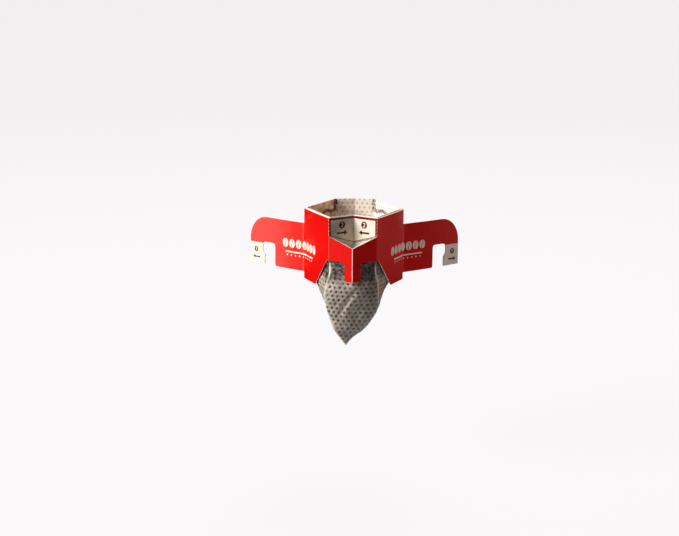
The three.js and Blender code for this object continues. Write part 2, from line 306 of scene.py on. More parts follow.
def rounded(corners, steps=6):
    """An outline whose corners (s, z, radius) are each turned by a small arc-like curve: a quadratic
    curve from one side to the other, as far from the corner as a circle of that radius touches."""
    points = []
    count = len(corners)
    for i, corner in enumerate(corners):
        here = np.array(corner[:2], float)
        radius = corner[2] if len(corner) > 2 else 0
        if radius == 0:
            points.append(here)
            continue
        before = np.array(corners[i - 1][:2], float) - here
        after = np.array(corners[(i + 1) % count][:2], float) - here
        before /= np.linalg.norm(before)
        after /= np.linalg.norm(after)
        reach = radius / math.tan(math.acos(np.clip(before @ after, -1, 1)) / 2)
        t = np.linspace(0, 1, steps)[:, None]
        enter, leave = here + before * reach, here + after * reach
        points.extend(enter * (1 - t) ** 2 + here * 2 * t * (1 - t) + leave * t ** 2)
    return np.array(points)


def blank_outline():
    """The half blank, counterclockwise: back ridge and its leg, the cut round the arm, the arm with
    its slot, lobe, window, leg and the front slit, and the mouth edge."""
    notch_low = -SLOT_TOP - NOTCH_TOP - NOTCH_HEIGHT
    left_by_arm = CUT_CENTRE - CUT_RADIUS - BACK_RIDGE
    leg_width = left_by_arm * BACK_LEG_SHARE
    back_leg = BACK_RIDGE + leg_width
    front_leg = HALF_FACE - LEG_HALF
    back_cut = [
        (BACK_RIDGE, -LEG_FOOT),
        (back_leg, -LEG_FOOT, leg_width * BACK_RADIUS_SHARE),
        (back_leg, -WINDOW_TOP, (left_by_arm - leg_width) * BACK_RADIUS_SHARE),
        (CUT_CENTRE - CUT_RADIUS, -WINDOW_TOP),
    ]
    arm_tail = [
        (ARM_ROOT - ARM_LENGTH, -ARM_FOOT, TIP_ROUND),
        (ARM_ROOT - SLOT_END, -ARM_FOOT, TIP_ROUND),
        (ARM_ROOT - SLOT_END, notch_low - NOTCH_DEPTH),
        (ARM_ROOT - SLOT_END - NOTCH_DEPTH, notch_low, NOTCH_ROUND),
        (ARM_ROOT - SLOT_END - NOTCH_DEPTH, -SLOT_TOP - NOTCH_TOP, NOTCH_ROUND),
        (ARM_ROOT - SLOT_END, -SLOT_TOP, NOTCH_ROUND),
        (ARM_ROOT - SLOT_START, -SLOT_TOP, SLOT_INNER_ROUND),
        (ARM_ROOT - SLOT_START, -ARM_FOOT, SLOT_FOOT_ROUND),
        (ARM_ROOT, -ARM_FOOT),
        (ARM_ROOT, -LOBE_FOOT),
        (LOBE_WIDTH, -LOBE_FOOT, LOBE_ROUND),
        (WINDOW_SLANT_TOP, -WINDOW_TOP),
        (front_leg, -WINDOW_TOP, WINDOW_ROUND),
        (front_leg, -LEG_FOOT, LEG_ROUND),
        (HALF_FACE, -LEG_FOOT),
        (HALF_FACE, -PANEL_POINT),
        (CORNER_TO_CREASE, -PANEL_SIDE + SLIT / 2),
        (HALF_FACE, -PANEL_POINT + SLIT),
        (HALF_FACE, 0),
    ]
    ridge_top = (BACK_RIDGE, 0)
    head = rounded([ridge_top] + back_cut)
    cut_arc = arc((CUT_CENTRE, -ARM_TOP + SLIT - CUT_RADIUS), CUT_RADIUS, 180, 90)
    root = np.array([
        (ARM_ROOT - CUT_NICK, -ARM_TOP + SLIT),
        (ARM_ROOT, -ARM_TOP + SLIT / 2),
        (ARM_ROOT - CUT_NICK, -ARM_TOP),
    ])
    arm_arc = arc((ARM_CENTRE, -ARM_TOP - ARM_RADIUS), ARM_RADIUS, 90, 180)
    tail = rounded(arm_tail + [ridge_top])[:-1]
    return np.vstack((head, cut_arc, root, arm_arc, tail))


def crease_points():
    """Rows of points on and beside each crease, so that the bends follow them, and a loose lattice
    between them, so that a flat stretch can bow a little."""
    rows = np.arange(-LOBE_FOOT + BEND_PITCH / 2, 0, BEND_PITCH)
    near = np.array(np.meshgrid(BEND_COLUMNS, rows)).reshape(2, -1).T
    columns = np.arange(BACK_RIDGE + BEND_PITCH, HALF_FACE, 2 * BEND_PITCH)
    lattice = np.array(np.meshgrid(columns, rows[::2])).reshape(2, -1).T
    clear = np.abs(lattice[:, :1] - BEND_COLUMNS[None]).min(1) > 0.5
    return np.vstack((near, lattice[clear]))


# Print on the blank, with its worn folds and a painted shadow line along the pushed panel's slit. Marks are
# (outline, finish); a later mark lies over an earlier one.

FINISHES = ["red", "cream", "maroon", "crimson", "white"]

PANEL_BORDER = 1.15
PANEL_MIDDLE = CORNER_TO_CREASE + 7.4
TAB_MIDDLE = ARM_ROOT - (SLOT_END + ARM_LENGTH) / 2 - 0.9
BEANS = 7
BEAN_HALF_WIDTH = 1.75
BEAN_HALF_HEIGHT = 2.2
BEAN_PITCH = 4.15
FIRST_BEAN = (-10.6, -17.9)
RULE_FROM, RULE_TO = -10.5, 12.6
RULE_FOOT, RULE_TOP = -22.4, -21.7
RULE_DOTS = 9
RULE_DOT_RADIUS = 0.42
RULE_DOT_PITCH = 2.6
FIRST_RULE_DOT = (-9.4, -23.6)
WORN_RIDGE = 0.24
WORN_DASHES = 5
WORN_DASH_PITCH = 1.65


def box_outline(low_s, high_s, low_z, high_z):
    """A rectangle's four corners, counterclockwise."""
    return np.array([[low_s, low_z], [high_s, low_z], [high_s, high_z], [low_s, high_z]])


def ellipse(centre, half_width, half_height, steps=28):
    """An ellipse's outline, at even angles."""
    angle = np.linspace(0, 2 * math.pi, steps, endpoint=False)
    ring = np.column_stack((np.cos(angle), np.sin(angle)))
    return ring * (half_width, half_height) + centre


def stroke(line, width):
    """The outline of a pen stroke along a line of points: each side lies half a width to its normal."""
    line = np.asarray(line, float)
    along = np.gradient(line, axis=0)
    along /= np.linalg.norm(along, axis=1)[:, None]
    side = np.column_stack((-along[:, 1], along[:, 0])) * width / 2
    return np.vstack((line - side, (line + side)[::-1]))


def numeral_one():
    """A plain figure one, one unit high round the origin."""
    return [np.array([
        (-0.09, -0.5), (0.13, -0.5), (0.13, 0.5), (-0.03, 0.5), (-0.26, 0.3), (-0.26, 0.13), (-0.09, 0.24)])]


def numeral_two():
    """A plain figure two, one unit high: an arc over the top, a slope down and a foot."""
    bow = arc((0, 0.2), 0.22, 170, -40, 10)
    slope = np.array([[0.0, -0.17], [-0.18, -0.36]])
    pen = stroke(np.vstack((bow, slope)), 0.19)
    foot = box_outline(-0.29, 0.3, -0.5, -0.32)
    return [pen, foot]


def arrow():
    """A plain arrow one unit long that points to -s."""
    return [np.array([
        (-0.5, 0), (-0.2, -0.2), (-0.2, -0.07), (0.5, -0.07), (0.5, 0.07), (-0.2, 0.07), (-0.2, 0.2)])]


def bean(half_width, half_height):
    """A coffee bean seen flat: two halves of an ellipse, parted by an S-shaped line."""
    height = np.linspace(-1, 1, 15)
    split = 0.2 * np.sin(math.pi * height)
    rim = np.sqrt(1 - height ** 2)
    gap = 0.11
    halves = []
    for sign in (-1, 1):
        inner = np.column_stack((split + sign * gap, height))
        outer = np.column_stack((sign * np.maximum(rim, sign * split + gap + 0.01), height))
        loop = np.vstack((inner, outer[::-1]))
        halves.append(loop * (half_width, half_height))
    return halves


def placed(outlines, centre, size, flip):
    """Outlines scaled and moved; flip mirrors them along s, so that they read the same way round
    on the right half of the blank."""
    return [outline * (size * flip, size) + centre for outline in outlines]


def numbered_disc(figure, centre, radius, height, flip):
    """A maroon disc with a cream figure of that height in it."""
    return [([ellipse(centre, radius, radius)], "maroon"), (placed(figure, centre, height, flip), "cream")]


def panel_marks(flip):
    """The pushed panel: a crimson border round a cream field, a fine maroon line over its slanting foot that
    is a painted shadow of the slit's edge, and a disc with the figure two over an arrow to the ridge."""
    slope = (PANEL_POINT - PANEL_SIDE) / CREASE_TO_RIDGE
    crease = CORNER_TO_CREASE
    near = crease + PANEL_BORDER
    foot = -PANEL_SIDE - slope * PANEL_BORDER + SLIT / 2
    point = -PANEL_POINT + SLIT / 2
    shadow_line_rise, shadow_line_width = 0.3, 0.28
    whole = np.array([(crease, foot), (HALF_FACE, point), (HALF_FACE, 0), (crease, 0)])
    field = np.array([
        (near, foot), (HALF_FACE, point), (HALF_FACE, -PANEL_BORDER), (near, -PANEL_BORDER)])
    # This maroon line is a painted shadow: the dark gap of the slit under the pushed panel.
    line = stroke([(near, foot + shadow_line_rise), (HALF_FACE, point + shadow_line_rise)], shadow_line_width)
    disc = numbered_disc(numeral_two(), (PANEL_MIDDLE, -3.75), 1.65, 2.1, flip)
    to_ridge = placed(arrow(), (PANEL_MIDDLE, -7.4), 6.0, -1)
    return [([whole], "crimson"), ([field], "cream"), ([line], "maroon"), *disc, (to_ridge, "maroon")]


def tab_marks(flip):
    """The arm's tab: cream, with the figure one in a disc over an arrow outwards."""
    tab = box_outline(ARM_ROOT - ARM_LENGTH - 1, ARM_ROOT - SLOT_END + 1, -ARM_FOOT - 1, -SLOT_TOP - 0.9)
    disc = numbered_disc(numeral_one(), (TAB_MIDDLE, -SLOT_TOP - 4.3), 1.4, 1.8, flip)
    outwards = placed(arrow(), (TAB_MIDDLE, -SLOT_TOP - 8.1), 5.0, 1)
    return [([tab], "cream"), *disc, (outwards, "maroon")]


def bean_row(flip):
    """A row of beans over a rule, and small dots under it."""
    row = []
    for i in range(BEANS):
        centre = (FIRST_BEAN[0] + BEAN_PITCH * i, FIRST_BEAN[1])
        row.extend(placed(bean(BEAN_HALF_WIDTH, BEAN_HALF_HEIGHT), centre, 1, flip))
    rule = box_outline(RULE_FROM, RULE_TO, RULE_FOOT, RULE_TOP)
    under = []
    for i in range(RULE_DOTS):
        centre = (FIRST_RULE_DOT[0] + RULE_DOT_PITCH * i, FIRST_RULE_DOT[1])
        under.append(ellipse(centre, RULE_DOT_RADIUS, RULE_DOT_RADIUS, 12))
    return [(row + [rule] + under, "cream")]


def wear_marks():
    """Ink cracked off by folding: all along the ridge, and in dashes on the panel's crease."""
    worn = [box_outline(HALF_FACE - WORN_RIDGE, HALF_FACE + 1, -LEG_FOOT - 1, -PANEL_POINT)]
    half_width, length = 0.16, 1.0
    for i in range(WORN_DASHES):
        top = -0.5 - WORN_DASH_PITCH * i
        low_s, high_s = CORNER_TO_CREASE - half_width, CORNER_TO_CREASE + half_width
        worn.append(box_outline(low_s, high_s, top - length, top))
    return [(worn, "white")]


def marks(flip):
    """All (outline, finish) marks of the half blank. flip is 1 on the left half and -1 on the right."""
    groups = panel_marks(flip) + tab_marks(flip) + bean_row(flip) + wear_marks()
    return [(outline, finish) for outlines, finish in groups for outline in outlines]


# Folding. Each stretch of the blank follows a plan line that turns softly at its corners.

SIDE_CORNER = np.array([-MOUTH_HALF_WIDTH, 0.0])
FRONT_CREASE_AT = np.array([-FRONT_CREASE_X, -FRONT_CREASE_Y])
BACK_CREASE_AT = np.array([-BACK_CREASE_X, BACK_CREASE_Y])
ROOT_AT = SIDE_CORNER + (FRONT_CREASE_AT - SIDE_CORNER) * CORNER_ROUNDING / CORNER_TO_CREASE
BACK_START_AT = SIDE_CORNER + (BACK_CREASE_AT - SIDE_CORNER) * CORNER_ROUNDING / CORNER_TO_CREASE
FACE_WAY = (FRONT_CREASE_AT - ROOT_AT) / np.linalg.norm(FRONT_CREASE_AT - ROOT_AT)
ARM_WAY = np.array([-math.cos(ARM_SWEEP), math.sin(ARM_SWEEP)])
CREASE_SOFT = 0.35
ROOT_SOFT = 1.1
ARM_BOW = 0.5
FACE_SWELL = 0.35


def plan_line(s, knots, corners, soft):
    """The plan point at s on a line through corners at knots (s rising). Within soft of a knot the
    line follows a quadratic curve instead of the sharp corner."""
    knots, corners = np.asarray(knots, float), np.asarray(corners, float)
    x = np.column_stack([np.interp(s, knots, corners[:, k]) for k in (0, 1)])
    for i in range(1, len(knots) - 1):
        near = np.abs(s - knots[i]) < soft
        t = ((s[near] - knots[i] + soft) / (2 * soft))[:, None]
        enter = corners[i] + (corners[i - 1] - corners[i]) * soft / (knots[i] - knots[i - 1])
        leave = corners[i] + (corners[i + 1] - corners[i]) * soft / (knots[i + 1] - knots[i])
        x[near] = enter * (1 - t) ** 2 + corners[i] * 2 * t * (1 - t) + leave * t ** 2
    return x


def slit_line(s):
    """The height of the slit under the pushed panel: straight from the crease's end to the ridge's
    point."""
    share = np.clip((s - CORNER_TO_CREASE) / CREASE_TO_RIDGE, 0, 1)
    return -PANEL_SIDE + SLIT / 2 - share * (PANEL_POINT - PANEL_SIDE)


def fold(flat):
    """Flat blank points to the folded left half. The stretch each lies in picks its plan line: the
    ring, the ring with its front pushed in, or the arm. The arm and the face bow by a half sine."""
    s, z = flat[:, 0], flat[:, 1]
    away = np.hypot(s - ARM_CENTRE, z + ARM_TOP + ARM_RADIUS)
    past_arc = (s < ARM_CENTRE) & (z > -ARM_TOP - ARM_RADIUS) & (away > ARM_RADIUS + SLIT / 2)
    under_cut = z < -ARM_TOP + SLIT / 2
    on_arm = (s < ARM_ROOT) & under_cut & (s > ARM_ROOT - ARM_LENGTH - SLIT / 2) & ~past_arc
    on_panel = (s > CORNER_TO_CREASE) & (z > slit_line(s))
    front_end = np.array([0, -FRONT_CREASE_Y - FRONT_PUSH])
    pushed_end = np.array([0, -FRONT_CREASE_Y + FRONT_PUSH])
    back_end = np.array([0, BACK_CREASE_Y + BACK_BULGE])
    knots = [BACK_RIDGE, BACK_CREASE, BACK_START, ARM_ROOT, CORNER_TO_CREASE, HALF_FACE]
    ring = [back_end, BACK_CREASE_AT, BACK_START_AT, ROOT_AT, FRONT_CREASE_AT]
    plan = plan_line(s, knots, ring + [front_end], CREASE_SOFT)
    pushed = plan_line(s, knots, ring + [pushed_end], CREASE_SOFT)
    plan[on_panel] = pushed[on_panel]
    reach = 2 * HALF_FACE
    arm_knots = [ARM_ROOT - reach, ARM_ROOT, ARM_ROOT + reach]
    arm_ends = [ROOT_AT + ARM_WAY * reach, ROOT_AT, ROOT_AT + FACE_WAY * reach]
    arm = plan_line(s, arm_knots, arm_ends, ROOT_SOFT)
    beside_root = (s >= ARM_ROOT) & (s < ARM_ROOT + ROOT_SOFT) & under_cut & (z > -ARM_FOOT - 0.1)
    follows_arm = on_arm | beside_root
    plan[follows_arm] = arm[follows_arm]
    bow = ARM_BOW * np.sin(np.clip((ARM_ROOT - s) / ARM_LENGTH, 0, 1) * math.pi) * on_arm
    plan -= bow[:, None] * np.array([ARM_WAY[1], -ARM_WAY[0]])
    swell = FACE_SWELL * np.sin(np.clip((s - ARM_ROOT) / (CORNER_TO_CREASE - ARM_ROOT), 0, 1) * math.pi)
    plan += swell[:, None] * np.array([FACE_WAY[1], -FACE_WAY[0]])
    return np.column_stack((plan, z + MOUTH_LEVEL))


def split_edges(outline_points, longest=0.8):
    """The outline counterclockwise, with points added on its sides: on each crease and beside it,
    and evenly, so that a side bends with the board."""
    s, z = outline_points.T
    area = np.sum(s * np.roll(z, -1) - np.roll(s, -1) * z)
    loop = outline_points if area > 0 else outline_points[::-1]
    found = []
    for here, there in zip(loop, np.roll(loop, -1, axis=0)):
        steps = max(1, math.ceil(np.linalg.norm(there - here) / longest))
        shares = np.arange(steps) / steps
        run = there[0] - here[0]
        if abs(run) > 1e-6:
            crossing = (BEND_COLUMNS - here[0]) / run
            shares = np.concatenate((shares, crossing[(crossing > 0) & (crossing < 1)]))
        shares = np.unique(np.round(shares, 5))
        found.append(here + (there - here) * shares[:, None])
    return np.vstack(found)


def half_card(flip):
    """Triangles of the half blank, cut along its outline and its marks' outlines, with each
    triangle's finish, folded. The right half is the left one mirrored, with its marks turned first."""
    loops = [split_edges(blank_outline())]
    finishes = ["red"]
    for outline_points, finish in marks(flip):
        loops.append(split_edges(outline_points))
        finishes.append(finish)
    points, faces = [], []
    for loop in loops:
        faces.append(list(range(len(points), len(points) + len(loop))))
        points.extend(loop)
    points.extend(crease_points())
    vectors = [Vector(point) for point in points]
    flat, _, triangles, _, _, owners = delaunay_2d_cdt(vectors, [], faces, 1, 1e-5, True)
    blank = 0
    kept = [(triangle, max(owner)) for triangle, owner in zip(triangles, owners) if blank in owner]
    finish_index = np.array([FINISHES.index(finishes[top]) for _, top in kept])
    triangles = np.array([triangle for triangle, _ in kept])
    folded = fold(np.array([tuple(point) for point in flat]))
    if flip < 0:
        folded[:, 0] *= -1
        triangles = triangles[:, ::-1]
    return folded, triangles, finish_index


def mesh_from(name, points_mm, faces):
    """A mesh object at the origin from millimetre points and an array or list of faces."""
    mesh = bpy.data.meshes.new(name)
    mesh.from_pydata(np.asarray(points_mm) * MM, [], faces if isinstance(faces, list) else faces.tolist())
    mesh.update()
    piece = bpy.data.objects.new(name, mesh)
    bpy.context.scene.collection.objects.link(piece)
    return piece


def smooth_shade(piece, angle):
    """Smooth shading with edges sharper than angle kept."""
    mesh = piece.data
    mesh.shade_smooth()
    mesh.set_sharp_from_angle(angle=angle)


def printed_card():
    """The die-cut blank: both halves joined on the ridges, given the board's thickness inwards."""
    left_points, left_faces, left_finish = half_card(1)
    right_points, right_faces, right_finish = half_card(-1)
    points = np.vstack((left_points, right_points))
    faces = np.vstack((left_faces, right_faces + len(left_points)))
    card = mesh_from("printed_card", points, faces)
    card.data.polygons.foreach_set("material_index", np.concatenate((left_finish, right_finish)))
    bpy.context.view_layer.objects.active = card
    weld = card.modifiers.new("ridges", "WELD")
    weld.merge_threshold = 0.02 * MM
    board = card.modifiers.new("board", "SOLIDIFY")
    board.thickness = CARD_THICKNESS * MM
    board.offset = -1
    board.use_even_offset = True
    board.material_offset = len(FINISHES)
    board.material_offset_rim = 2 * len(FINISHES)
    finishes = [
        card_finish("offset_red_on_gloss_board", "#dd0602", "#d60502", 0.36, 0.3),
        card_finish("offset_cream_on_gloss_board", "#f3e6d4", "#ecddc8", 0.4, 0.25),
        # Maroon serves the printed discs and arrows, and also the painted shadow line under the pushed
        # panel.
        card_finish("offset_maroon_print_and_painted_shadow", "#5a1214", "#4b0e11", 0.36, 0.3),
        card_finish("offset_crimson_on_gloss_board", "#8a0d14", "#7c0b11", 0.36, 0.3),
        card_finish("cracked_board_fold", "#f4e9e2", "#e8c9bf", 0.75, 0.0),
    ]
    back = card_finish("uncoated_board_back", "#efe7dc", "#e4d9cb", 0.8, 0.0)
    edge = card_finish("cut_board_edge", "#f7efe6", "#eadfd2", 0.85, 0.0)
    for material in finishes + [back] * len(FINISHES) + [edge]:
        card.data.materials.append(material)
    return card


# Filter pouch: rings of eight corners down the pouch, smoothed both ways. Corners count round from
# the left side corner by the front, and a drop is measured down from the mouth.

EDGE_STEPS = 30
ROW_STEP = 0.4
POUCH_FOOT = 61.0
KEEL_HEIGHT = 2.4
CORNERS = 8
FRONT_LEFT, FRONT_RIDGE, FRONT_RIGHT, BACK_RIGHT, BACK_RIDGE_CORNER, BACK_LEFT = 1, 2, 3, 5, 6, 7
RIDGE_ROOM = 1.5
BELLY = 0.75

# Height, start and end as (way along from the front ridge, drop), and width of each fold or dent
FOLDS = [
    (0.5, (3.4, 29.0), (-1.8, 43.0), 1.5),
    (-0.42, (0.4, 33.0), (-4.0, 44.0), 1.5),
    (-0.25, (6.5, 31.0), (4.0, 42.0), 1.7),
    (0.22, (7.0, 42.0), (3.0, 54.0), 1.6),
]

# Height and size of the two kinds of unevenness
UNEVENNESS = [(0.09, 7.0), (0.04, 2.6)]

# Height of the cloth pinched at the front corners, and strength of the painted highlight on each corner's
# fold higher up, brightest on the front left; each listed corner also gets a pale sealed line low down
PINCHES = [(FRONT_LEFT, 0.55), (FRONT_RIGHT, 0.3)]
PINCH_WIDTH = 0.55
PALE_SEAMS_AND_HIGHLIGHTS = [(FRONT_LEFT, 1.9), (FRONT_RIGHT, 1.3), (BACK_RIGHT, 0.6), (BACK_LEFT, 0.6)]


def ring_corners(side, crease_x, crease_y, centre_y, lean=0.0, centre_shift=0.0, back=None):
    """Eight corners counterclockwise from the left side corner, by the front."""
    back_x, back_y, back_centre = back or (crease_x, crease_y, centre_y)
    ring = np.array([
        (-side, 0), (-crease_x, -crease_y), (centre_shift, -centre_y), (crease_x, -crease_y),
        (side, 0), (back_x, back_y), (0, back_centre), (-back_x, back_y),
    ], float)
    ring[:, 0] += lean
    return ring


def inset(ring, distance):
    """The ring's corners moved in, so that each side lies distance nearer the middle."""
    before = ring - np.roll(ring, 1, axis=0)
    after = np.roll(ring, -1, axis=0) - ring
    before /= np.linalg.norm(before, axis=1)[:, None]
    after /= np.linalg.norm(after, axis=1)[:, None]
    middle = np.column_stack((-before[:, 1] - after[:, 1], before[:, 0] + after[:, 0]))
    return ring + middle * (2 * distance / (middle ** 2).sum(1))[:, None]


def pouch_rings():
    """(drop, corners) of the pouch's outer skin. Inside the card it follows the card; below, it
    narrows from the foot of the windows to the keel."""
    gap = CARD_THICKNESS + CLEARANCE
    side = abs(ROOT_AT[0])
    back = (BACK_CREASE_X, BACK_CREASE_Y, BACK_CREASE_Y + BACK_BULGE)
    pushed_y, ridge_y = FRONT_CREASE_Y - FRONT_PUSH, FRONT_CREASE_Y + FRONT_PUSH
    mouth = inset(ring_corners(side, FRONT_CREASE_X, FRONT_CREASE_Y, pushed_y, back=back), gap)
    ridge = inset(ring_corners(side, FRONT_CREASE_X, FRONT_CREASE_Y, ridge_y, back=back), gap)
    ridge[FRONT_RIDGE, 1] += RIDGE_ROOM
    ridge[BACK_RIDGE_CORNER, 1] -= RIDGE_ROOM
    rings = [
        (-0.3, mouth),
        (6.0, mouth),
        (PANEL_POINT + CLEARANCE, mouth),
        (WINDOW_TOP + 0.6, ridge),
        (25.0, ridge),
    ]
    # drop, side, crease x, crease y, ridge y, lean of the ring and shift of its front ridge along x
    below = [
        (30.2, 21.4, 11.6, 27.4, 32.4, 0.0, 1.8),
        (34.2, 18.2, 12.2, 27.0, 31.2, -0.4, 1.6),
        (37.6, 15.4, 12.5, 26.6, 30.2, -0.5, 0.6),
        (40.9, 12.9, 12.1, 26.1, 29.3, -0.1, -0.6),
        (45.3, 11.3, 10.8, 25.4, 28.2, -0.3, -1.0),
        (49.4, 9.4, 9.0, 24.6, 27.1, -0.8, -0.8),
        (53.5, 7.0, 6.6, 23.7, 25.8, -1.8, -0.4),
        (56.4, 4.1, 3.8, 22.8, 24.4, -2.8, -0.1),
        (POUCH_FOOT - KEEL_HEIGHT, 2.1, 1.9, 22.3, 23.2, -3.0, 0.0),
        (POUCH_FOOT, 0.35, 0.3, 21.6, 22.0, -3.1, 0.0),
    ]
    for drop, side, crease_x, crease_y, centre_y, lean, shift in below:
        back_centre = crease_y + (centre_y - crease_y) * BACK_BULGE / FRONT_PUSH
        back = (crease_x, crease_y, back_centre)
        rings.append((drop, ring_corners(side, crease_x, crease_y, centre_y, lean, shift, back)))
    return rings


def through_rows(rings, drops):
    """Corner places at each drop: a cubic through the rings, with slopes from their neighbours,
    held level where a ring repeats."""
    knots = np.array([drop for drop, _ in rings])
    values = np.array([ring for _, ring in rings])
    slopes = np.diff(values, axis=0) / np.diff(knots)[:, None, None]
    tangents = np.zeros_like(values)
    agree = slopes[:-1] * slopes[1:] > 0
    safe = np.where(agree, slopes[:-1] + slopes[1:], 1)
    tangents[1:-1] = np.where(agree, 2 * slopes[:-1] * slopes[1:] / safe, 0)
    tangents[-1] = slopes[-1]
    i = np.clip(np.searchsorted(knots, drops, side="right") - 1, 0, len(knots) - 2)
    width = (knots[i + 1] - knots[i])[:, None, None]
    t = ((drops - knots[i]) / (knots[i + 1] - knots[i]))[:, None, None]
    return (
        values[i] * (2 * t ** 3 - 3 * t ** 2 + 1) + values[i + 1] * (3 * t ** 2 - 2 * t ** 3)
        + tangents[i] * width * (t ** 3 - 2 * t ** 2 + t) + tangents[i + 1] * width * (t ** 3 - t ** 2))


def smooth_step(value, low, high):
    """0 below low, 1 above high, smooth between."""
    t = np.clip((value - low) / (high - low), 0, 1)
    return t * t * (3 - 2 * t)


def within(value, rise, fall):
    """1 between a smooth rise and a smooth fall, each given as (start, end), and 0 outside."""
    return smooth_step(value, *rise) * (1 - smooth_step(value, *fall))


def bump_line(along, down, start, end, width):
    """1 on a straight line between two places on the cloth, falling off as a bell to its sides and
    ends."""
    way = np.array(end, float) - start
    length = np.linalg.norm(way)
    way /= length
    run = (along - start[0]) * way[0] + (down - start[1]) * way[1]
    aside = (along - start[0]) * -way[1] + (down - start[1]) * way[0]
    past = np.maximum(0, np.maximum(-run, run - length))
    return np.exp(-(aside / width) ** 2 - (past / (2 * width)) ** 2)


def ripples(along, down, size, count=14):
    """Smooth random unevenness: a sum of waves of about that size with random ways and phases."""
    total = np.zeros_like(along)
    for _ in range(count):
        angle, phase = RANDOM.uniform(0, 2 * math.pi, 2)
        wave = RANDOM.uniform(0.7, 1.4) * 2 * math.pi / size
        total += np.sin(wave * (math.cos(angle) * along + math.sin(angle) * down) + phase)
    return total / math.sqrt(count)


def way_from(along, corner):
    """How far each place lies along the cloth from a corner of its row."""
    return along - along[:, corner * EDGE_STEPS][:, None]


def cloth_height(along, level):
    """How far the wet cloth stands out: folds and dents, unevenness and the pinched front corners,
    below the card only."""
    height = sum(rise * bump_line(along, level, start, end, width) for rise, start, end, width in FOLDS)
    for rise, size in UNEVENNESS:
        height += rise * ripples(along, level, size)
    for corner, rise in PINCHES:
        ridge = np.exp(-(way_from(along, corner) / PINCH_WIDTH) ** 2)
        height += rise * within(level, (19, 22), (42, 48)) * ridge
    return height * within(level, (22, 30), (56, 60))


def pouch_surface():
    """The outer skin as (rows, columns) of points, with its flat places. Corners are joined by
    straight sides, the ring is blurred along itself, sides belly out by a half sine below the card,
    and folds and unevenness move points along the outward normal."""
    rings = pouch_rings()
    drops = np.arange(rings[0][0], POUCH_FOOT + 1e-6, ROW_STEP)
    corners = through_rows(rings, drops)
    share = np.arange(EDGE_STEPS) / EDGE_STEPS
    t = share[None, None, :, None]
    sides = corners[:, :, None] * (1 - t) + np.roll(corners, -1, axis=1)[:, :, None] * t
    ring = sides.reshape(len(drops), -1, 2)
    columns = ring.shape[1]
    turns = np.fft.fftfreq(columns) * columns
    spread = 0.5 + 1.3 * within(drops, (24, 34), (52, 58))
    blur = np.exp(-2 * (math.pi * turns[None] * spread[:, None] / columns) ** 2)
    blurred = np.fft.ifft(np.fft.fft(ring[..., 0] + 1j * ring[..., 1], axis=1) * blur, axis=1)
    ring = np.stack((blurred.real, blurred.imag), axis=-1)
    tangent = np.roll(ring, -1, axis=1) - np.roll(ring, 1, axis=1)
    normal = np.stack((tangent[..., 1], -tangent[..., 0]), axis=-1)
    normal /= np.linalg.norm(normal, axis=-1, keepdims=True)
    half_sine = np.sin(math.pi * np.tile(share, CORNERS))
    belly = BELLY * within(drops, (26, 36), (52, 60))
    ring += normal * (belly[:, None] * half_sine[None])[..., None]
    step = np.linalg.norm(np.roll(ring, -1, axis=1) - ring, axis=-1)
    run = np.concatenate((np.zeros((len(drops), 1)), np.cumsum(step, axis=1)), axis=1)
    at_ridge, at_back = FRONT_RIDGE * EDGE_STEPS, BACK_RIDGE_CORNER * EDGE_STEPS
    front = run - run[:, at_ridge][:, None]
    back = run - run[:, at_back][:, None]
    back[:, :at_ridge] = run[:, :at_ridge] + (run[:, -1] - run[:, at_back])[:, None]
    down = np.broadcast_to(drops[:, None], front.shape)
    ring = ring + normal * cloth_height(front[:, :-1], down[:, :-1])[..., None]
    return drops, ring, front, back, down


def inner_residue(level, columns):
    """Crumbs left inside the mouth: a bar down each back crease and a wavy line on the side wall
    beside it, at the height the coffee reached."""
    residue = np.zeros_like(level)
    for corner, way, amount in ((BACK_LEFT, 1, 1.0), (BACK_RIGHT, -1, 0.85)):
        at = (np.arange(columns) - corner * EDGE_STEPS) * way
        bar = ((at > -3.0) & (at < 2.4))[None] * (1 - smooth_step(level, 5.0, 6.4))
        wave = 4.4 + 0.7 * np.sin(at / 2.2)[None] + 0.05 * at[None]
        line = np.exp(-(level - wave) ** 4) * ((at > 0) & (at < EDGE_STEPS * 0.85))[None]
        residue = np.maximum(residue, np.maximum(bar, line) * amount)
    return residue


